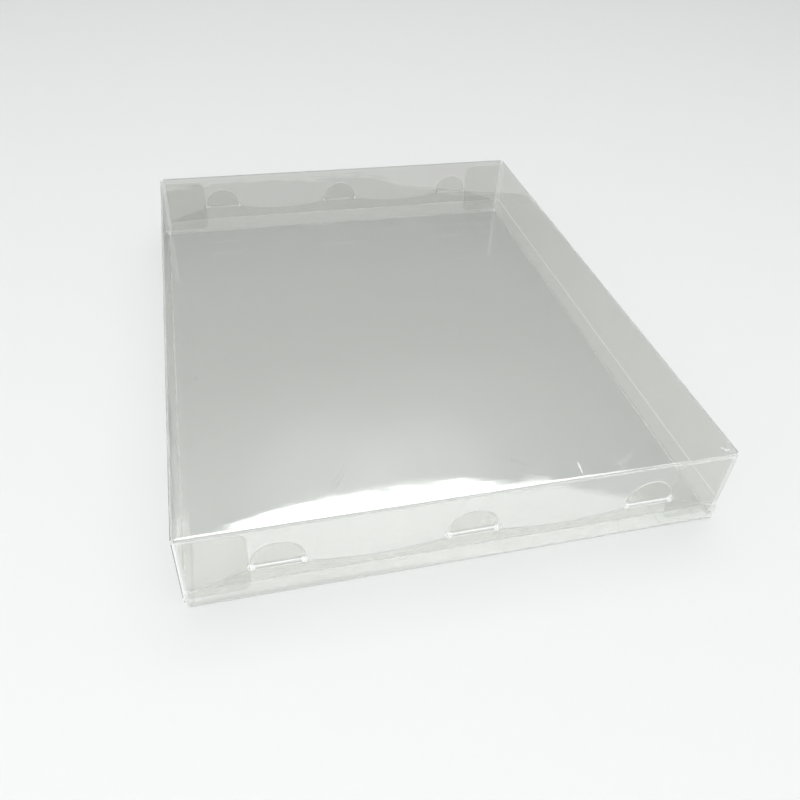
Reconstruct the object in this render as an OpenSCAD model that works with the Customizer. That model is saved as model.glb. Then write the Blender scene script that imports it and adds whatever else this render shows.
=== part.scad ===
// Clear folding box protector for a boxed video game, closed and empty.
// One die-cut sheet is folded into a sleeve that runs along Y and is glued at one lap.
// Each end closes with two dust flaps, an upper flap with slots, and a lower flap
// whose half-moon tabs go through the slots and lock it.
// Frame: +Z is up, the near closure faces -Y, and the origin is the centre of the base.

/* [Box] */
// Outside width
box_w = 254; // [216:1:320]
// Outside depth, from closure to closure
box_d = 328; // [120:1:420]
// Outside height
box_h = 43; // [38:0.5:120]
// Thickness of the clear sheet
sheet = 0.5; // [0.3:0.05:0.8]
// Outside radius of the folds
fold_r = 0.9; // [0.9:0.1:2]
// Width of the glued lap, inside the right wall
lap_w = 12; // [5:1:20]

/* [Dust flaps] */
// Length of a dust flap, from the side wall's outside to its free edge
dust_l = 29; // [15:1:60]
// Distance from a dust flap's long edges to the base and the top
dust_inset = 3.3; // [2.5:0.1:8]
// Radius of a dust flap's free corners
dust_corner_r = 5; // [1:0.5:12]

/* [Upper flaps] */
// How far an upper flap reaches below its slots
upper_tail = 9.6; // [4:0.1:13]
// Radius of an upper flap's free corners
upper_corner_r = 3; // [1:0.5:4]

/* [Lower flaps] */
// Height of the slots' centre line over the base
slot_z = 19.8; // [17:0.1:23]
// How deep the free edge dips between the tabs
edge_dip = 2.8; // [0.5:0.1:5]
// How far the free edge drops at the flap's two ends
end_drop = 9; // [1:0.5:11]
// Straight edge left on each side of a tab
shoulder = 2.5; // [1:0.5:5]
// Radius of the creased bead on which a lower flap turns
bead_r = 0.4; // [0.4:0.05:0.6]

/* [Locking tabs] */
// Number of tabs on a flap
tab_count = 3; // [1:1:3]
// Distance between the middles of two tabs
tab_pitch = 86; // [40:1:90]
// Radius of a half-moon tab
tab_r = 11.7; // [7:0.1:14]
// Inside radius of the bends that take a tab through its slot
tab_bend_r = 1; // [0.8:0.1:2]
// Radius of the round hole that ends a slot
slot_end_r = 1.1; // [1:0.05:1.5]

/* [Clearances] */
// Gap between two layers of sheet in a closure
layer_gap = 0.3; // [0.15:0.05:0.5]
// Gap between an end flap's side and the fold beside it
flap_side_gap = 0.3; // [0.2:0.1:1.5]
// Gap between a lower flap's bead and the edge of the base
bead_gap = 0.05; // [0.03:0.01:0.15]
// Gap between a tab and each long edge of its slot
slot_gap = 0.35; // [0.25:0.05:0.6]
// Gap between a tab and each end of its slot
slot_end_gap = 0.7; // [0.3:0.1:1.2]

/* [Hidden] */

// Facets of a fold, a rounded corner and a long shallow edge, and steps in a tab's bend
fold_fn = 48;
corner_fn = 96;
edge_fn = 720;
bend_steps = 8;
// How far cutting shapes pass the sheet, and how far a flap's root laps into the sleeve
over = 2;
join = 1;

// Depths of the layers in a closure, measured inwards from its outside face
layer = sheet + layer_gap;
upper_at = layer;
dust_at = 3 * layer;
sleeve_at = dust_at + fold_r;

// Half the width of the upper and lower flaps
flap_half = box_w / 2 - sheet - fold_r - flap_side_gap;

// A tab's double bend: middle radius, turn, rise, and the slot that clears it
bend_mid_r = tab_bend_r + sheet / 2;
bend_shift = 2 * layer;
bend_angle = acos(1 - bend_shift / (2 * bend_mid_r));
bend_rise = 2 * bend_mid_r * sin(bend_angle);
slot_h = sheet / tan(bend_angle) + sheet / sin(bend_angle) + 2 * slot_gap;
slot_half = tab_r + slot_end_gap;

// Heights in a closure
lower_top = slot_z - bend_rise / 2;
tab_mid_z = slot_z + bend_rise / 2;
upper_edge_z = slot_z - upper_tail;

tab_xs = [for (i = [0 : tab_count - 1]) (i - (tab_count - 1) / 2) * tab_pitch];
edge_half = tab_xs[tab_count - 1] + tab_r + shoulder;

clear_sheet = [0.82, 0.87, 0.86, 0.45];
clear_flap = [0.72, 0.8, 0.82, 0.45];
clear_tab = [0.62, 0.74, 0.78, 0.45];

// A quarter of a fold, bent round the origin from +X to +Y
module fold_arc() {
    intersection() {
        difference() {
            circle(r = fold_r, $fn = fold_fn);
            circle(r = fold_r - sheet, $fn = fold_fn);
        }
        square(fold_r + over);
    }
}

// A strip that starts at x = 0 and has two rounded corners at x = length
module round_ended(length, width, corner) {
    translate([0, -width / 2]) square([length - corner, width]);
    translate([0, corner - width / 2]) square([length, width - 2 * corner]);
    for (side = [-1, 1])
        translate([length - corner, side * (width / 2 - corner)]) circle(r = corner, $fn = corner_fn);
}

// Bends a section given as [depth behind the near face, height] across the flap's width
module across(half) {
    translate([0, -box_d / 2, 0])
        rotate([90, 0, 90]) linear_extrude(height = 2 * half, center = true) children();
}

// Cuts an outline given as [x, z] through every layer of the near closure
module through_closure() {
    translate([0, -box_d / 2, 0])
        rotate([90, 0, 0]) linear_extrude(height = 2 * (sleeve_at + join + over), center = true) children();
}

// The near end's shape, and the same at the far end
module both_ends() {
    children();
    mirror([0, 1, 0]) children();
}

// The sleeve's section: four walls, their folds, and the lap glued inside the right wall
module sleeve_section() {
    left = -box_w / 2;
    right = box_w / 2;
    lap_x = right - sheet;
    translate([left + fold_r, box_h - sheet]) square([box_w - 2 * fold_r, sheet]);
    translate([left, fold_r]) square([sheet, box_h - 2 * fold_r]);
    translate([left + fold_r, 0]) square([lap_x - left - 2 * fold_r, sheet]);
    translate([lap_x, fold_r]) square([sheet, box_h - 2 * fold_r]);
    translate([lap_x - sheet, fold_r]) square([sheet, lap_w - fold_r]);
    translate([right - fold_r, box_h - fold_r]) fold_arc();
    translate([left + fold_r, box_h - fold_r]) rotate(90) fold_arc();
    translate([left + fold_r, fold_r]) rotate(180) fold_arc();
    translate([lap_x - fold_r, fold_r]) rotate(270) fold_arc();
}

module sleeve_tube() {
    rotate([90, 0, 0])
        linear_extrude(height = box_d - 2 * sleeve_at, center = true) sleeve_section();
}

// The strip of base that carries a lower flap
module base_edge() {
    across(flap_half)
        translate([2 * bead_r + bead_gap, 0]) square([sleeve_at + join - 2 * bead_r - bead_gap, sheet]);
}

// A slit with a round hole at each end
module slot_outline() {
    square([2 * (slot_half - slot_end_r), slot_h], center = true);
    for (side = [-1, 1])
        translate([side * (slot_half - slot_end_r), 0]) circle(r = slot_end_r, $fn = corner_fn);
}

module upper_outline() {
    difference() {
        translate([0, box_h + over]) rotate(-90)
            round_ended(box_h + over - upper_edge_z, 2 * flap_half, upper_corner_r);
        for (x = tab_xs) translate([x, slot_z]) slot_outline();
    }
}

// The upper flap, bent down from the top
module upper_flap() {
    intersection() {
        across(flap_half) {
            translate([upper_at, upper_edge_z - over])
                square([sheet, box_h - fold_r - upper_edge_z + over]);
            translate([upper_at + fold_r, box_h - fold_r]) rotate(90) fold_arc();
            translate([upper_at + fold_r, box_h - sheet])
                square([sleeve_at + join - upper_at - fold_r, sheet]);
        }
        through_closure() upper_outline();
    }
}

// The right-hand dust flap, bent in from the side wall
module dust_flap() {
    intersection() {
        translate([0, -box_d / 2, dust_inset]) linear_extrude(height = box_h - 2 * dust_inset) {
            translate([box_w / 2 - dust_l - over, dust_at]) square([dust_l + over - fold_r, sheet]);
            translate([box_w / 2 - fold_r, sleeve_at]) rotate(270) fold_arc();
            translate([box_w / 2 - sheet, sleeve_at]) square([sheet, join]);
        }
        through_closure() translate([box_w / 2 + over, box_h / 2]) rotate(180)
            round_ended(dust_l + over, box_h - 2 * dust_inset, dust_corner_r);
    }
}

// The folded and glued sheet, apart from the two flaps that open
module sleeve() {
    color(clear_sheet) union() {
        sleeve_tube();
        both_ends() {
            base_edge();
            upper_flap();
            dust_flap();
            mirror([1, 0, 0]) dust_flap();
        }
    }
}

// A shallow arc cut between two tabs, as deep as edge_dip
module edge_arc() {
    half_chord = tab_pitch / 2 - tab_r - shoulder;
    arc_r = (half_chord * half_chord + edge_dip * edge_dip) / (2 * edge_dip);
    translate([0, lower_top - edge_dip + arc_r]) circle(r = arc_r, $fn = edge_fn);
}

module lower_outline() {
    difference() {
        polygon([
            [-flap_half, -over], [flap_half, -over],
            [flap_half, lower_top - end_drop], [edge_half, lower_top],
            [-edge_half, lower_top], [-flap_half, lower_top - end_drop]
        ]);
        if (tab_count > 1)
            for (i = [1 : tab_count - 1])
                translate([(tab_xs[i - 1] + tab_xs[i]) / 2, 0]) edge_arc();
    }
}

// The lower flap, which turns on the bead at its foot
module lower_flap() {
    intersection() {
        across(flap_half) {
            translate([bead_r, bead_r]) circle(r = bead_r, $fn = fold_fn);
            translate([0, bead_r]) square([sheet, lower_top - bead_r]);
        }
        through_closure() lower_outline();
    }
}

// One face of a tab's double bend, as [depth, height] points; out is its distance
// from the sheet's middle, outwards
function bend_face(out) = concat(
    [for (i = [0 : bend_steps]) let (a = bend_angle * i / bend_steps)
        [sheet / 2 + bend_mid_r, lower_top] + (bend_mid_r + out) * [-cos(a), sin(a)]],
    [for (i = [1 : bend_steps]) let (a = bend_angle * (1 - i / bend_steps))
        [sheet / 2 + bend_shift - bend_mid_r, tab_mid_z] + (bend_mid_r - out) * [cos(a), -sin(a)]],
    [[sheet / 2 + bend_shift - out, tab_mid_z + tab_r + over]]
);

// A tab's section: bent in through the slot, then straight up behind the upper flap
module tab_section() {
    outer = bend_face(sheet / 2);
    inner = bend_face(-sheet / 2);
    polygon(concat(outer, [for (i = [len(inner) - 1 : -1 : 0]) inner[i]]));
}

// A half-moon on a straight root; the circle's lower half is below the tab's section
module tab_outline() {
    translate([-tab_r, lower_top - over]) square([2 * tab_r, tab_mid_z - lower_top + over]);
    translate([0, tab_mid_z]) circle(r = tab_r, $fn = corner_fn);
}

// The row of half-moon tabs on a lower flap
module lock_tabs() {
    intersection() {
        across(flap_half) tab_section();
        through_closure() for (x = tab_xs) translate([x, 0]) tab_outline();
    }
}

module front_lock_flap() {
    color(clear_flap) lower_flap();
}

module back_lock_flap() {
    color(clear_flap) mirror([0, 1, 0]) lower_flap();
}

module front_lock_tabs() {
    color(clear_tab) lock_tabs();
}

module back_lock_tabs() {
    color(clear_tab) mirror([0, 1, 0]) lock_tabs();
}

sleeve();
front_lock_flap();
back_lock_flap();
front_lock_tabs();
back_lock_tabs();
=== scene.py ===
"""Looks of a clear folding game box protector: its sheet, its wear and painted edge highlights, and a pale
studio with a camera.
"""

import logging
import math
from abc import ABC, abstractmethod
from dataclasses import dataclass, field
from enum import Enum
from typing import ClassVar

import bmesh
import bpy
from mathutils import Matrix, Vector


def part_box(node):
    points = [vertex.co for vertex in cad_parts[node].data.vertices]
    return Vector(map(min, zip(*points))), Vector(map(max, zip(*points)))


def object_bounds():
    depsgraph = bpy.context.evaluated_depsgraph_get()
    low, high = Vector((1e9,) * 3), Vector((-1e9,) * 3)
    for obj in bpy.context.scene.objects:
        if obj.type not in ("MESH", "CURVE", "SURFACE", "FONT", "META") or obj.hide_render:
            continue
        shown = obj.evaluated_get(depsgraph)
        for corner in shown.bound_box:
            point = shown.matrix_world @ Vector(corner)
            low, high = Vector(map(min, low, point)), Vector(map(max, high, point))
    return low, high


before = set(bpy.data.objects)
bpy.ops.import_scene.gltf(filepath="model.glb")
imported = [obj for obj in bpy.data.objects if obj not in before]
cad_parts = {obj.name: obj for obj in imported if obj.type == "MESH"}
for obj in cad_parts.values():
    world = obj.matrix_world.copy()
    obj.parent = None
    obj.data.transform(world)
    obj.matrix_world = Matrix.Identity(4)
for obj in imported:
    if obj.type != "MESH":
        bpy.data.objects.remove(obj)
cad_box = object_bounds()

LOG = logging.getLogger("protector")

Colour = tuple[float, float, float]
Point = tuple[float, float, float]
Pair = tuple[float, float]
Socket = bpy.types.NodeSocket
Value = Socket | float


class Operation(Enum):
    """The sums that the finishes use."""

    ADD = "ADD"
    SUBTRACT = "SUBTRACT"
    MULTIPLY = "MULTIPLY"
    MULTIPLY_ADD = "MULTIPLY_ADD"
    MINIMUM = "MINIMUM"
    MAXIMUM = "MAXIMUM"
    ABSOLUTE = "ABSOLUTE"
    COMPARE = "COMPARE"
    REMAINDER = "FLOORED_MODULO"


class ClosureEnd(Enum):
    """The two ends of the protector, each with its own lower flap and tabs."""

    FRONT = "front"
    BACK = "back"


@dataclass(frozen=True)
class Pattern:
    """Smooth noise: its patches in a metre, its layers of finer noise, and their share."""

    scale: float
    detail: float = 2.0
    roughness: float = 0.5


class NodeGraph:
    """The shader nodes of a material or of the sky, written as sums of sockets and numbers.

    A Mix node has sockets for each kind of value. The mix colours are the places of its two colours among
    its inputs, and the mix result is that of their mixture among its outputs.
    """

    mix_colours: ClassVar[tuple[int, int]] = (6, 7)
    mix_result: ClassVar[int] = 2

    def __init__(self, owner: bpy.types.Material | bpy.types.World) -> None:
        """Empties the owner's node tree and keeps hold of it.

        Args:
            owner: The material or sky whose nodes are built.
        """
        owner.use_nodes = True
        self.tree = owner.node_tree
        self.tree.nodes.clear()

    def node(self, kind: str, **settings: object) -> bpy.types.Node:
        """Adds a node.

        Args:
            kind: The node's type name in Blender.
            **settings: Properties of the node itself.

        Returns:
            The new node.
        """
        made = self.tree.nodes.new(kind)
        for name, value in settings.items():
            setattr(made, name, value)
        return made

    def feed(self, target: Socket, value: Value) -> None:
        """Links a socket to the target, or sets the target's own number.

        Args:
            target: The input socket.
            value: A socket to link, or the number itself.
        """
        if isinstance(value, bpy.types.NodeSocket):
            self.tree.links.new(value, target)
        else:
            target.default_value = value

    def sum(self, operation: Operation, *terms: Value) -> Socket:
        """Works out one sum.

        Args:
            operation: Which sum.
            *terms: Its numbers or sockets, in order.

        Returns:
            The socket with the result.
        """
        made = self.node("ShaderNodeMath", operation=operation.value)
        for target, term in zip(made.inputs, terms):
            self.feed(target, term)
        return made.outputs[0]

    def largest(self, *terms: Value) -> Socket:
        """Returns the largest of several values."""
        made = terms[0]
        for term in terms[1:]:
            made = self.sum(Operation.MAXIMUM, made, term)
        return made

    def smallest(self, *terms: Value) -> Socket:
        """Returns the smallest of several values."""
        made = terms[0]
        for term in terms[1:]:
            made = self.sum(Operation.MINIMUM, made, term)
        return made

    def product(self, *terms: Value) -> Socket:
        """Returns several values multiplied together."""
        made = terms[0]
        for term in terms[1:]:
            made = self.sum(Operation.MULTIPLY, made, term)
        return made

    def step(self, value: Socket, start: float, end: float, low: float = 0.0, high: float = 1.0) -> Socket:
        """Turns a value smoothly from one number into another.

        Args:
            value: The socket to read.
            start: The value at which the result is low.
            end: The value at which the result is high.
            low: The result at start.
            high: The result at end.

        Returns:
            The socket with the result.
        """
        made = self.node("ShaderNodeMapRange", interpolation_type="SMOOTHSTEP")
        for name, number in (("From Min", start), ("From Max", end), ("To Min", low), ("To Max", high)):
            made.inputs[name].default_value = number
        self.feed(made.inputs["Value"], value)
        return made.outputs["Result"]

    def parts(self, vector: Socket) -> tuple[Socket, Socket, Socket]:
        """Returns the three parts of a vector."""
        made = self.node("ShaderNodeSeparateXYZ")
        self.feed(made.inputs[0], vector)
        return tuple(made.outputs)

    def towards(self, vector: Socket, direction: Vector) -> Socket:
        """Measures how far a vector runs in a direction.

        Args:
            vector: The socket with the vector.
            direction: The direction, of any length.

        Returns:
            The socket with the length along it.
        """
        made = self.node("ShaderNodeVectorMath", operation="DOT_PRODUCT")
        self.feed(made.inputs[0], vector)
        made.inputs[1].default_value = direction.normalized()
        return made.outputs["Value"]

    def stretched(self, place: Socket, scale: Point, turn: Point = (0.0, 0.0, 0.0)) -> Socket:
        """Turns and stretches a place, so that a pattern read there runs in one direction.

        Args:
            place: The place on the piece.
            scale: How many times each axis is multiplied.
            turn: Rotation about X, Y and Z in degrees, before the scale.

        Returns:
            The socket with the new place.
        """
        made = self.node("ShaderNodeVectorRotate", rotation_type="EULER_XYZ")
        self.feed(made.inputs["Vector"], place)
        made.inputs["Rotation"].default_value = [math.radians(angle) for angle in turn]
        scaled = self.node("ShaderNodeVectorMath", operation="MULTIPLY")
        self.feed(scaled.inputs[0], made.outputs[0])
        scaled.inputs[1].default_value = scale
        return scaled.outputs[0]

    def noise(self, place: Socket, pattern: Pattern) -> Socket:
        """Reads smooth noise.

        Args:
            place: The place on the piece.
            pattern: The noise's measures.

        Returns:
            A socket that runs from 0 to 1.
        """
        made = self.node("ShaderNodeTexNoise")
        self.feed(made.inputs["Vector"], place)
        made.inputs["Scale"].default_value = pattern.scale
        made.inputs["Detail"].default_value = pattern.detail
        made.inputs["Roughness"].default_value = pattern.roughness
        return made.outputs["Fac"]

    def blend(self, share: Socket, first: Colour, second: Colour) -> Socket:
        """Mixes two colours.

        Args:
            share: How much of the second one, from 0 to 1.
            first: The colour at share 0.
            second: The colour at share 1.

        Returns:
            The socket with the mixed colour.
        """
        made = self.node("ShaderNodeMix", data_type="RGBA")
        self.feed(made.inputs[0], share)
        for place, colour in zip(self.mix_colours, (first, second)):
            made.inputs[place].default_value = (*colour, 1.0)
        return made.outputs[self.mix_result]

    def bump(self, height: Socket, distance: float = 1.0) -> Socket:
        """Tilts the surface as a height would.

        Args:
            height: The height.
            distance: How many metres the height of 1 stands for.

        Returns:
            The socket with the tilted normal.
        """
        made = self.node("ShaderNodeBump")
        made.inputs["Strength"].default_value = 1.0
        made.inputs["Distance"].default_value = distance
        self.feed(made.inputs["Height"], height)
        return made.outputs[0]

    def end(self, kind: str, shader: Socket) -> None:
        """Ends the nodes with their output.

        Args:
            kind: The output node's type name in Blender.
            shader: What is sent to it.
        """
        self.feed(self.node(kind).inputs["Surface"], shader)


@dataclass(frozen=True)
class Surface:
    """What the wear and the painted highlights read at a point of the sheet.

    The depths are those below the side, the end, and the top or base face. The edge is the depth from the
    nearest outer edge, where two of these faces meet. The grain is a fine unevenness, long in Y.
    """

    place: Socket
    normal: Socket
    depths: tuple[Socket, Socket, Socket]
    edge: Socket
    grain: Socket
    grain_pattern: ClassVar[Pattern] = Pattern(260.0)
    grain_stretch: ClassVar[Point] = (3.0, 1.0, 3.0)

    @classmethod
    def read(cls, graph: NodeGraph) -> "Surface":
        """Adds the nodes that measure a point.

        Args:
            graph: The material's nodes.

        Returns:
            The sockets that the wear and the painted highlights read.
        """
        low, high = cad_box
        coordinates = graph.node("ShaderNodeTexCoord")
        place = coordinates.outputs["Object"]
        across, along, up = graph.parts(place)
        side = graph.sum(Operation.SUBTRACT, high.x, graph.sum(Operation.ABSOLUTE, across))
        end = graph.sum(Operation.SUBTRACT, high.y, graph.sum(Operation.ABSOLUTE, along))
        level = graph.smallest(
            graph.sum(Operation.SUBTRACT, up, low.z),
            graph.sum(Operation.SUBTRACT, high.z, up),
        )
        edge = graph.largest(graph.smallest(side, end), graph.smallest(graph.largest(side, end), level))
        grain = graph.noise(graph.stretched(place, cls.grain_stretch), cls.grain_pattern)
        return cls(place, coordinates.outputs["Normal"], (side, end, level), edge, grain)


@dataclass(frozen=True)
class WearAndHighlight(ABC):
    """A kind of wear, on edges partly a painted highlight: how white it turns the sheet, and how dull."""

    whitening_and_highlight: float
    dullness: float

    @abstractmethod
    def mask(self, graph: NodeGraph, surface: Surface) -> Socket:
        """Finds the mark.

        Args:
            graph: The material's nodes.
            surface: What is known of the point.

        Returns:
            A socket that is 1 where the mark is and 0 elsewhere.
        """


@dataclass(frozen=True)
class FoldWear(WearAndHighlight):
    """Folds, where the sheet turned white unevenly along its length.

    The reach is how far from the edge it is full, and where it ends. Along the fold it is least where the
    grain is below its first bound, and full above its second one.
    """

    whitening_and_highlight: float = 0.24
    dullness: float = 0.20
    reach: Pair = (0.0008, 0.0016)
    grain: Pair = (0.3, 0.7)
    least: float = 0.35

    def mask(self, graph: NodeGraph, surface: Surface) -> Socket:
        """Returns 1 in a fold and 0 on the panels."""
        near = graph.step(surface.edge, *self.reach, 1.0, 0.0)
        return graph.product(near, graph.step(surface.grain, *self.grain, self.least, 1.0))


@dataclass(frozen=True)
class CornerWear(WearAndHighlight):
    """Corners, crumpled in patches where three folds meet.

    The reach is how far from the corner it is full, and where it ends. Its patches begin at the first bound
    of the grain, and are full at its second one.
    """

    whitening_and_highlight: float = 0.40
    dullness: float = 0.15
    reach: Pair = (0.001, 0.005)
    grain: Pair = (0.42, 0.62)

    def mask(self, graph: NodeGraph, surface: Surface) -> Socket:
        """Returns 1 in a crumpled patch and 0 elsewhere."""
        near = graph.step(graph.largest(*surface.depths), *self.reach, 1.0, 0.0)
        return graph.product(near, graph.step(surface.grain, *self.grain))


@dataclass(frozen=True)
class CutEdge(WearAndHighlight):
    """Cut edges of the sheet, which scatter light: partly frosting, partly a painted highlight.

    Facing is how squarely the surface faces as its own panel does: below the first bound it is a cut edge,
    and above the second one a face. The folds are left clear, because their rounding faces other ways too.
    A point's own panel is the one with the least of the three depths, or with the same depth.
    """

    whitening_and_highlight: float = 0.78
    dullness: float = 0.45
    facing: Pair = (0.25, 0.75)
    clear_of_fold: Pair = (0.00128, 0.0016)
    same_depth: float = 0.00001

    def mask(self, graph: NodeGraph, surface: Surface) -> Socket:
        """Returns 1 where the surface doesn't face as its own panel does, away from the folds."""
        nearest = graph.smallest(*surface.depths)
        shares = []
        for across, part in zip(surface.depths, graph.parts(surface.normal)):
            here = graph.sum(Operation.COMPARE, across, nearest, self.same_depth)
            shares.append(graph.product(here, graph.sum(Operation.ABSOLUTE, part)))
        turned = graph.step(graph.largest(*shares), *self.facing, 1.0, 0.0)
        return graph.product(turned, graph.step(surface.edge, *self.clear_of_fold))


@dataclass(frozen=True)
class HairlineRun:
    """Hairlines in one direction.

    The turn is that direction in degrees, and the patches are where they begin and are full.
    """

    turn: float
    lines: Pattern
    patches: Pair


@dataclass(frozen=True)
class Hairlines(WearAndHighlight):
    """Hairline scratches in two directions, in patches.

    A line lies where the noise of its run is within core of its middle value.
    """

    whitening_and_highlight: float = 0.16
    dullness: float = 0.07
    runs: tuple[HairlineRun, ...] = (
        HairlineRun(24.0, Pattern(14.0, 0.0), (0.58, 0.70)),
        HairlineRun(-58.0, Pattern(11.0, 0.0), (0.42, 0.32)),
    )
    patches: Pattern = Pattern(24.0, 1.0)
    stretch: Point = (1.0, 22.0, 22.0)
    middle: float = 0.5
    core: Pair = (0.0005, 0.0025)

    def mask(self, graph: NodeGraph, surface: Surface) -> Socket:
        """Returns 1 on a hairline and 0 elsewhere."""
        patch = graph.noise(surface.place, self.patches)
        found = []
        for run in self.runs:
            turned = graph.stretched(surface.place, self.stretch, (0.0, 0.0, run.turn))
            off = graph.sum(Operation.SUBTRACT, graph.noise(turned, run.lines), self.middle)
            hair = graph.step(graph.sum(Operation.ABSOLUTE, off), *self.core, 1.0, 0.0)
            found.append(graph.product(hair, graph.step(patch, *run.patches)))
        return graph.largest(*found)


@dataclass(frozen=True)
class Scratch(WearAndHighlight):
    """A short scratch or rubbed streak on the top, ragged and fading towards its end.

    Its two points are how far they lie to the right of the middle, and how far behind the near fold. Across
    is where it ends aside, in shares of its width. Rise and fade are where it begins and ends, in shares of
    its length.
    """

    start: Pair
    end: Pair
    width: float
    across: Pair = (0.3, 1.0)
    rise: Pair = (0.0, 0.2)
    fade: Pair = (0.6, 1.0)
    grain: Pair = (0.3, 0.6)
    least: float = 0.4

    def mask(self, graph: NodeGraph, surface: Surface) -> Socket:
        """Returns 1 in the middle of the scratch and 0 off it."""
        low, high = cad_box
        start, end = (Vector((right, low.y + behind, high.z)) for right, behind in (self.start, self.end))
        run = end - start
        offset = graph.node("ShaderNodeVectorMath", operation="SUBTRACT")
        graph.feed(offset.inputs[0], surface.place)
        offset.inputs[1].default_value = start
        along = graph.towards(offset.outputs[0], run)
        nearest = graph.node("ShaderNodeVectorMath", operation="SCALE")
        nearest.inputs[0].default_value = run.normalized()
        graph.feed(nearest.inputs["Scale"], along)
        aside = graph.node("ShaderNodeVectorMath", operation="DISTANCE")
        graph.feed(aside.inputs[0], offset.outputs[0])
        graph.feed(aside.inputs[1], nearest.outputs[0])
        return graph.product(
            graph.step(aside.outputs["Value"], *(share * self.width for share in self.across), 1.0, 0.0),
            graph.step(along, *(share * run.length for share in self.rise)),
            graph.step(along, *(share * run.length for share in self.fade), 1.0, 0.0),
            graph.step(surface.grain, *self.grain, self.least, 1.0),
        )


@dataclass(frozen=True)
class TabRow:
    """The row of tabs and slots along a closure.

    The layers are how deep its sheets reach behind the outer face: where its marks are full, and where they
    end.
    """

    count: int = 3
    pitch: float = 0.086
    layers: Pair = (0.0022, 0.00264)

    def away(self, graph: NodeGraph, surface: Surface, aside: float, height: float) -> Socket:
        """Measures how far a point is from the same two points of every tab.

        Args:
            graph: The material's nodes.
            surface: What is known of the point.
            aside: How far these points are to either side of the tab's middle.
            height: Their height over the base.

        Returns:
            The socket with the distance, seen square to the closure.
        """
        across, _, up = graph.parts(surface.place)
        from_start = graph.sum(Operation.ADD, across, self.count * self.pitch / 2.0)
        in_pitch = graph.sum(Operation.REMAINDER, from_start, self.pitch)
        from_middle = graph.sum(Operation.SUBTRACT, in_pitch, self.pitch / 2.0)
        off_middle = graph.sum(Operation.ABSOLUTE, from_middle)
        offset = graph.node("ShaderNodeCombineXYZ")
        graph.feed(offset.inputs["X"], graph.sum(Operation.SUBTRACT, off_middle, aside))
        graph.feed(offset.inputs["Z"], graph.sum(Operation.SUBTRACT, up, height))
        length = graph.node("ShaderNodeVectorMath", operation="LENGTH")
        graph.feed(length.inputs[0], offset.outputs[0])
        return length.outputs["Value"]

    def inside(self, graph: NodeGraph, surface: Surface) -> Socket:
        """Returns 1 in the closure's layers and 0 in the rest of the sheet."""
        _, end, _ = surface.depths
        return graph.step(end, *self.layers, 1.0, 0.0)


@dataclass(frozen=True)
class StopHoles(WearAndHighlight):
    """The round holes that end the slots, where the strained sheet turned white, with a painted highlight.

    They lie to either side of a tab's middle, at one height over the base. The halo is how far from a hole's
    middle it is full, at the hole's own edge, and where it ends.
    """

    whitening_and_highlight: float = 0.45
    dullness: float = 0.20
    row: TabRow = TabRow()
    aside: float = 0.0113
    height: float = 0.0198
    halo: Pair = (0.0011, 0.0024)

    def mask(self, graph: NodeGraph, surface: Surface) -> Socket:
        """Returns 1 beside a hole and 0 away from it."""
        away = self.row.away(graph, surface, self.aside, self.height)
        beside = graph.step(away, *self.halo, 1.0, 0.0)
        return graph.product(beside, self.row.inside(graph, surface))


@dataclass(frozen=True)
class TabRims(WearAndHighlight):
    """The tabs' round rims, rubbed by the slots that they go through, and painted lighter as a highlight
    line.

    The band is how far inside the rim the rubbing and painted highlight begin, and where they are full.
    """

    whitening_and_highlight: float = 0.40
    dullness: float = 0.30
    row: TabRow = TabRow()
    rub_and_highlight: Pair = (0.0007, 0.00028)

    def mask(self, graph: NodeGraph, surface: Surface) -> Socket:
        """Returns 1 at the rim and 0 inside it."""
        _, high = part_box(f"{ClosureEnd.FRONT.value}_lock_tabs")
        radius = high[0] - (self.row.count - 1) * self.row.pitch / 2.0
        away = self.row.away(graph, surface, 0.0, high[2] - radius)
        return graph.step(away, *(radius - inside for inside in self.rub_and_highlight))


@dataclass(frozen=True)
class TrimLine(WearAndHighlight):
    """The upper flap's free edge, dull from the cutter, and painted lighter as a highlight line.

    The height is the edge's, over the base. The reach is how far from it the mark is full, and where the
    mark ends.
    """

    whitening_and_highlight: float = 0.32
    dullness: float = 0.25
    row: TabRow = TabRow()
    height: float = 0.0102
    reach: Pair = (0.00024, 0.0006)

    def mask(self, graph: NodeGraph, surface: Surface) -> Socket:
        """Returns 1 at the edge and 0 away from it."""
        _, _, up = graph.parts(surface.place)
        full, ended = self.reach
        under_top = graph.step(up, self.height + full, self.height + ended, 1.0, 0.0)
        over_bottom = graph.step(up, self.height - ended, self.height - full)
        return graph.product(under_top, over_bottom, self.row.inside(graph, surface))


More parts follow.
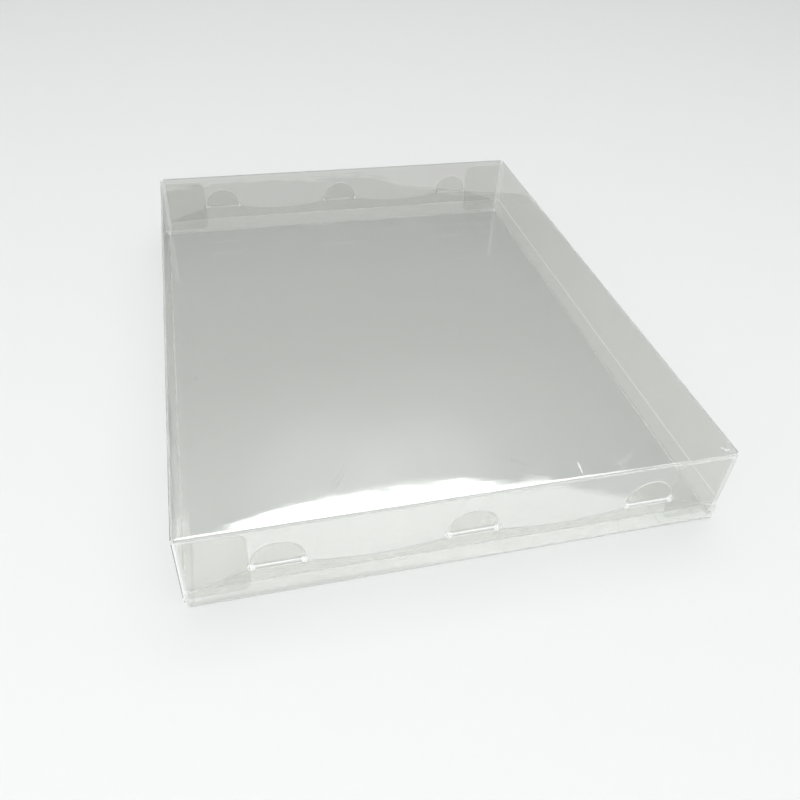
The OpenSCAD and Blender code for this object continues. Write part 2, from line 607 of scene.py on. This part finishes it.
@dataclass(frozen=True)
class ClearSheet:
    """Clear sheet with its wear, painted edge highlights, broad scuffs and the slow waves of a rolled film.

    The roughness runs from the glossy sheet's to the scuffed one's. The waves, ripples and wisps are noise
    with a height in metres, and the last two end at the ripple reach from a fold. The curl rises beside it.
    The lamp share is what each face of a panel lets through of a lamp's light.
    """

    name: str
    # The wear; on cut edges, tab rims, the flap trim and stop holes its white is partly a painted highlight.
    wear: tuple[WearAndHighlight, ...]
    tint: Colour = (0.890, 0.892, 0.874)
    whitened_and_highlight: Colour = (0.97, 0.975, 0.975)
    refraction: float = 1.575
    roughness: Pair = (0.0, 0.08)
    scuffs: Pattern = Pattern(22.0, 2.0, 0.6)
    scuff_bounds: Pair = (0.50, 0.80)
    waves: Pattern = Pattern(9.0, 1.0, 0.4)
    wave_height: float = 0.0006
    ripples: Pattern = Pattern(70.0, 0.0)
    ripple_height: float = 0.00005
    ripple_reach: float = 0.03
    wisps: Pattern = Pattern(220.0, 1.0)
    wisp_height: float = 0.000012
    wisp_stretch: Point = (0.25, 0.25, 0.25)
    curl_height: float = 0.00004
    curl_reach: float = 0.0032
    lamp_share: Colour = (0.94, 0.947, 0.942)

    def material(self) -> bpy.types.Material:
        """Builds the finish.

        Returns:
            The material, for any of the protector's pieces.
        """
        made = bpy.data.materials.new(self.name)
        graph = NodeGraph(made)
        surface = Surface.read(graph)
        masks = [(wear, wear.mask(graph, surface)) for wear in self.wear]
        # The white is wear, and on cut edges, tab rims, flap trim and stop holes partly a painted highlight.
        white = graph.largest(*(graph.product(mask, wear.whitening_and_highlight) for wear, mask in masks))
        dull = graph.largest(*(graph.product(mask, wear.dullness) for wear, mask in masks))
        scuffs = graph.step(graph.noise(surface.place, self.scuffs), *self.scuff_bounds)
        scuffed = graph.step(scuffs, 0.0, 1.0, *self.roughness)
        shader = graph.node("ShaderNodeBsdfPrincipled")
        graph.feed(shader.inputs["Base Color"], graph.blend(white, self.tint, self.whitened_and_highlight))
        graph.feed(shader.inputs["Roughness"], graph.largest(scuffed, dull))
        graph.feed(shader.inputs["Transmission Weight"], graph.sum(Operation.SUBTRACT, 1.0, white))
        shader.inputs["IOR"].default_value = self.refraction
        graph.feed(shader.inputs["Normal"], self.relief(graph, surface))
        self.finish(graph, shader)
        return made

    def relief(self, graph: NodeGraph, surface: Surface) -> Socket:
        """Gives the sheet its slow waves, and beside its folds their ripples, wisps and curl.

        Args:
            graph: The material's nodes.
            surface: What is known of the point.

        Returns:
            The socket with the sheet's normal.
        """
        waves = graph.product(graph.noise(surface.place, self.waves), self.wave_height)
        ripples = graph.product(graph.noise(surface.place, self.ripples), self.ripple_height)
        across, along, _ = graph.parts(graph.stretched(surface.place, self.wisp_stretch))
        beside = graph.node("ShaderNodeCombineXYZ")
        for target, value in zip(beside.inputs, (across, along, surface.edge)):
            graph.feed(target, value)
        wisps = graph.product(graph.noise(beside.outputs[0], self.wisps), self.wisp_height)
        near = graph.step(surface.edge, 0.0, self.ripple_reach, 1.0, 0.0)
        fine = graph.product(graph.sum(Operation.ADD, ripples, wisps), near)
        curl = graph.step(surface.edge, 0.0, self.curl_reach, 0.0, self.curl_height)
        height = graph.sum(Operation.ADD, waves, graph.sum(Operation.ADD, fine, curl))
        return graph.bump(height)

    def finish(self, graph: NodeGraph, shader: bpy.types.Node) -> None:
        """Lets lamps through the sheet as a faint tint, and ends the material.

        Args:
            graph: The material's nodes.
            shader: The sheet's own shader.
        """
        path = graph.node("ShaderNodeLightPath")
        lamp = graph.node("ShaderNodeBsdfTransparent")
        lamp.inputs["Color"].default_value = (*self.lamp_share, 1.0)
        mix = graph.node("ShaderNodeMixShader")
        soft = graph.largest(path.outputs["Is Shadow Ray"], path.outputs["Is Diffuse Ray"])
        graph.feed(mix.inputs[0], soft)
        graph.feed(mix.inputs[1], shader.outputs[0])
        graph.feed(mix.inputs[2], lamp.outputs[0])
        graph.end("ShaderNodeOutputMaterial", mix.outputs[0])


@dataclass(frozen=True)
class PaleFloor:
    """Matte pale studio floor with a faint grain.

    Its mottling takes the colour down to the darkest share of it.
    """

    name: str = "pale_floor"
    colour: Colour = (0.80, 0.80, 0.795)
    darkest: float = 0.985
    roughness: float = 0.85
    mottling: Pattern = Pattern(3.0)
    grain: Pattern = Pattern(900.0)
    grain_height: float = 0.00003

    def material(self) -> bpy.types.Material:
        """Builds the finish.

        Returns:
            The floor's material.
        """
        made = bpy.data.materials.new(self.name)
        graph = NodeGraph(made)
        place = graph.node("ShaderNodeTexCoord").outputs["Object"]
        shader = graph.node("ShaderNodeBsdfPrincipled")
        darker = tuple(part * self.darkest for part in self.colour)
        mottled = graph.blend(graph.noise(place, self.mottling), self.colour, darker)
        graph.feed(shader.inputs["Base Color"], mottled)
        shader.inputs["Roughness"].default_value = self.roughness
        graph.feed(shader.inputs["Normal"], graph.bump(graph.noise(place, self.grain), self.grain_height))
        graph.end("ShaderNodeOutputMaterial", shader.outputs[0])
        return made


@dataclass
class Sleeve:
    """The folded sleeve: top, walls, base, upper flaps and dust flaps, in one sheet.

    Its marks are a scratch and a rubbed streak by the near fold, and two creases at the near right corner.
    """

    node: str = "sleeve"
    slot: str = "clear_sheet"
    # Cut edges: partly frosting, partly a painted highlight.
    cut: CutEdge = CutEdge()
    # The flap trim: dull, and painted lighter as a highlight line.
    trim: TrimLine = TrimLine()
    marks: tuple[Scratch, ...] = (
        Scratch(0.60, 0.27, start=(0.0491, 0.0038), end=(0.0499, 0.0126), width=0.0007),
        Scratch(0.06, 0.03, start=(0.0648, 0.0038), end=(0.0793, 0.0125), width=0.0018),
        Scratch(0.50, 0.22, start=(0.1225, 0.0038), end=(0.1195, 0.0080), width=0.0010),
        Scratch(0.35, 0.16, start=(0.1212, 0.0040), end=(0.1252, 0.0062), width=0.0008),
    )

    def dress(self, common: tuple[WearAndHighlight, ...]) -> None:
        """Gives the sleeve its finish.

        Args:
            common: The wear that all the sheet has, with the painted highlight beside the stop holes.
        """
        finish = ClearSheet("clear_sheet_folded", (*common, self.cut, self.trim, *self.marks))
        dress_node(self.node, finish)


@dataclass
class LockFlap:
    """One lower flap with its three tabs.

    The flap's long edge is cut clean, with a faint painted highlight. The tabs' edges are lighter, with a
    bright painted highlight, and their rims are rubbed by the slots and painted lighter as a highlight line.
    """

    end: ClosureEnd
    slot: str = "clear_sheet"
    # Cut edges, partly frosting and partly a painted highlight, brightest on the tabs.
    flap_cut: CutEdge = CutEdge(whitening_and_highlight=0.62)
    tab_cut: CutEdge = CutEdge(whitening_and_highlight=0.92)
    # Rims rubbed by the slots and painted lighter as a highlight line.
    tab_rims: TabRims = TabRims()
    flap: str = field(init=False)
    tabs: str = field(init=False)

    def __post_init__(self) -> None:
        """Names the flap's two nodes."""
        self.flap = f"{self.end.value}_lock_flap"
        self.tabs = f"{self.end.value}_lock_tabs"

    def dress(self, common: tuple[WearAndHighlight, ...]) -> None:
        """Gives the flap and its tabs their finish.

        Args:
            common: The wear that all the sheet has, with the painted highlight beside the stop holes.
        """
        flap_finish = ClearSheet("clear_sheet_flap", (*common, self.flap_cut))
        tab_finish = ClearSheet("clear_sheet_tab", (*common, self.tab_cut, self.tab_rims))
        dress_node(self.flap, flap_finish)
        dress_node(self.tabs, tab_finish)


def dress_node(node: str, finish: ClearSheet) -> None:
    """Gives a CAD node its finish.

    Args:
        node: The CAD node.
        finish: The clear sheet.
    """
    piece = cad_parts[node]
    material = bpy.data.materials.get(finish.name) or finish.material()
    for place in piece.material_slots:
        place.material = material
    LOG.info("%s wears %s", node, finish.name)


@dataclass(frozen=True)
class Softbox:
    """A soft square studio lamp, aimed at a point."""

    name: str
    place: Point
    aim: Point
    size: float
    power: float

    def build(self) -> None:
        """Hangs the lamp, which gives light but is neither seen nor mirrored."""
        data = bpy.data.lights.new(self.name, "AREA")
        data.size = self.size
        data.energy = self.power
        lamp = bpy.data.objects.new(self.name, data)
        bpy.context.scene.collection.objects.link(lamp)
        turn = (Vector(self.aim) - Vector(self.place)).to_track_quat("-Z", "Y")
        lamp.matrix_world = Matrix.Translation(self.place) @ turn.to_matrix().to_4x4()
        lamp.visible_camera = False
        lamp.visible_glossy = False
        lamp.visible_transmission = False
        LOG.info("%s lit", self.name)


@dataclass(frozen=True)
class Glow:
    """A bright soft-edged part of the sky.

    It turns bright as the sky's height passes from the first bound of rise to the second, and as the part
    along X passes those of fade. It lies beyond the far closure, or with side -1 on the near side.
    """

    rise: Pair
    fade: Pair
    strength: float
    side: int = 1


@dataclass(frozen=True)
class Patch:
    """A round soft lamp in the sky: its direction, and the cosines at its rim and its bright middle."""

    direction: Point
    rim: float
    middle: float
    strength: float


@dataclass
class Sky:
    """The studio's soft surroundings, which the sheet mirrors.

    For the glows, the sky's height grows by the tilt towards +X. The bounds of overhead and beyond keep them
    below the zenith, and away from the two sides.
    """

    name: str = "studio_sky"
    colour: Colour = (0.82, 0.83, 0.84)
    strength: float = 0.20
    tilt: float = 0.13
    glows: tuple[Glow, ...] = (
        Glow(rise=(0.7545, 0.7620), fade=(0.75, 0.55), strength=6.5),
        Glow(rise=(0.60, 0.76), fade=(0.55, 0.20), strength=0.6),
        Glow(rise=(0.45, 0.75), fade=(0.9, 0.5), strength=0.9, side=-1),
    )
    overhead: Pair = (0.85, 0.79)
    beyond: Pair = (0.05, 0.25)
    patches: tuple[Patch, ...] = (
        Patch((0.225, 0.637, 0.735), rim=0.9925, middle=0.9998, strength=0.42),
        Patch((0.105, 0.655, 0.742), rim=0.9915, middle=0.9995, strength=0.36),
        Patch((-0.80, 0.25, 0.55), rim=0.90, middle=0.99, strength=1.2),
        Patch((0.75, -0.20, 0.62), rim=0.93, middle=0.99, strength=0.8),
        Patch((0.25, -0.30, 0.92), rim=0.95, middle=0.995, strength=1.0),
        Patch((-0.30, 0.10, 0.95), rim=0.97, middle=0.999, strength=0.5),
    )

    def build(self) -> None:
        """Sets the sky, brighter beyond the far closure where the top's glare comes from."""
        world = bpy.data.worlds.new(self.name)
        graph = NodeGraph(world)
        place = graph.node("ShaderNodeTexCoord").outputs["Generated"]
        across, along, up = graph.parts(place)
        height = graph.sum(Operation.MULTIPLY_ADD, across, self.tilt, up)
        below = graph.step(up, *self.overhead)
        strength: Value = self.strength
        for glow in self.glows:
            beyond = graph.step(graph.sum(Operation.MULTIPLY, along, float(glow.side)), *self.beyond)
            bounds = graph.product(graph.step(across, *glow.fade), below, beyond)
            shape = graph.product(graph.step(height, *glow.rise), bounds)
            strength = graph.sum(Operation.MULTIPLY_ADD, shape, glow.strength, strength)
        for patch in self.patches:
            towards = graph.towards(place, Vector(patch.direction))
            lit = graph.step(towards, patch.rim, patch.middle, 0.0, patch.strength)
            strength = graph.sum(Operation.ADD, strength, lit)
        back = graph.node("ShaderNodeBackground")
        back.inputs["Color"].default_value = (*self.colour, 1.0)
        graph.feed(back.inputs["Strength"], strength)
        graph.end("ShaderNodeOutputWorld", back.outputs[0])
        bpy.context.scene.world = world
        LOG.info("%s set", self.name)


@dataclass
class Studio:
    """The pale floor, the soft lamps and the camera.

    The floor is flat as far as its radius, and then sweeps up into a wall. The camera looks from the eye at
    the target, and its roll is in degrees. The bounces are how often light is followed: through the sheet's
    layers, through its clear shadows, in mirror images and on matte surfaces. A pixel is done when its noise
    falls below the limit.
    """

    floor_name: str = "studio_floor"
    inner_radius: float = 0.6
    floor_radius: float = 1.5
    sweep_radius: float = 0.7
    wall_height: float = 0.3
    floor_steps: int = 96
    sweep_steps: int = 16
    lens: float = 34.44
    eye: Point = (-0.0965, -0.365, 0.2831)
    target: Point = (-0.0113, -0.073, 0.0215)
    roll: float = -3.71
    clip_start: float = 0.01
    lamps: tuple[Softbox, ...] = (
        Softbox("overhead_box", place=(0.1, -0.25, 1.8), aim=(0.0, 0.0, 0.0), size=1.2, power=10.0),
        Softbox("front_box", place=(-0.5, -1.5, 0.9), aim=(0.0, 0.0, 0.02), size=1.0, power=11.0),
        Softbox("left_box", place=(-1.5, -0.5, 0.8), aim=(0.0, 0.0, 0.02), size=0.9, power=3.0),
    )
    layer_bounces: int = 22
    shadow_bounces: int = 64
    mirror_bounces: int = 8
    matte_bounces: int = 1
    noise_limit: float = 0.02

    def lay_floor(self, finish: PaleFloor) -> None:
        """Lays a round floor that sweeps up into a wall, so that no horizon shows.

        Args:
            finish: The floor's finish.
        """
        low, _ = cad_box
        profile = [(self.inner_radius, 0.0), (self.floor_radius, 0.0)]
        for index in range(1, self.sweep_steps + 1):
            angle = math.radians(90.0) * index / self.sweep_steps
            out = self.floor_radius + self.sweep_radius * math.sin(angle)
            profile.append((out, self.sweep_radius * (1.0 - math.cos(angle))))
        profile.append((profile[-1][0], self.sweep_radius + self.wall_height))
        mesh = bmesh.new()
        rings = []
        for out, up in profile:
            ring = []
            for index in range(self.floor_steps):
                angle = math.tau * index / self.floor_steps
                ring.append(mesh.verts.new((out * math.cos(angle), out * math.sin(angle), low.z + up)))
            rings.append(ring)
        mesh.faces.new(rings[0])
        for inner, outer in zip(rings, rings[1:]):
            for index in range(self.floor_steps):
                after = (index + 1) % self.floor_steps
                mesh.faces.new((inner[index], outer[index], outer[after], inner[after]))
        for face in mesh.faces:
            face.smooth = True
        data = bpy.data.meshes.new(self.floor_name)
        mesh.to_mesh(data)
        mesh.free()
        floor = bpy.data.objects.new(self.floor_name, data)
        bpy.context.scene.collection.objects.link(floor)
        data.materials.append(finish.material())
        LOG.info("%s laid", self.floor_name)

    def light(self) -> None:
        """Hangs the lamps."""
        for lamp in self.lamps:
            lamp.build()

    def aim_camera(self) -> None:
        """Sets up the camera at the photograph's angle."""
        forward = (Vector(self.target) - Vector(self.eye)).normalized()
        level = forward.cross(Vector((0.0, 0.0, 1.0))).normalized()
        down = forward.cross(level)
        turn = math.radians(self.roll)
        right = level * math.cos(turn) + down * math.sin(turn)
        lower = down * math.cos(turn) - level * math.sin(turn)
        axes = Matrix((right, -lower, -forward)).transposed()
        data = bpy.data.cameras.new("camera")
        data.lens = self.lens
        data.clip_start = self.clip_start
        data.dof.use_dof = False
        camera = bpy.data.objects.new("camera", data)
        bpy.context.scene.collection.objects.link(camera)
        camera.matrix_world = Matrix.Translation(self.eye) @ axes.to_4x4()
        bpy.context.scene.camera = camera
        LOG.info("camera aimed")

    def develop(self) -> None:
        """Sets how light is followed through the layers and turned into the picture's colours."""
        scene = bpy.context.scene
        scene.view_settings.view_transform = "Standard"
        scene.cycles.max_bounces = self.layer_bounces
        scene.cycles.transmission_bounces = self.layer_bounces
        scene.cycles.transparent_max_bounces = self.shadow_bounces
        scene.cycles.glossy_bounces = self.mirror_bounces
        scene.cycles.diffuse_bounces = self.matte_bounces
        scene.cycles.adaptive_threshold = self.noise_limit


def main() -> None:
    """Builds the protector's looks and the studio round it."""
    logging.basicConfig(level=logging.INFO, format="%(name)s: %(message)s")
    # Wear on all the sheet; the white beside the stop holes is partly a painted highlight.
    common = (FoldWear(), CornerWear(), Hairlines(), StopHoles())
    Sleeve().dress(common)
    for end in ClosureEnd:
        LockFlap(end).dress(common)
    studio = Studio()
    studio.lay_floor(PaleFloor())
    studio.light()
    Sky().build()
    studio.aim_camera()
    studio.develop()


if __name__ == "__main__":
    main()
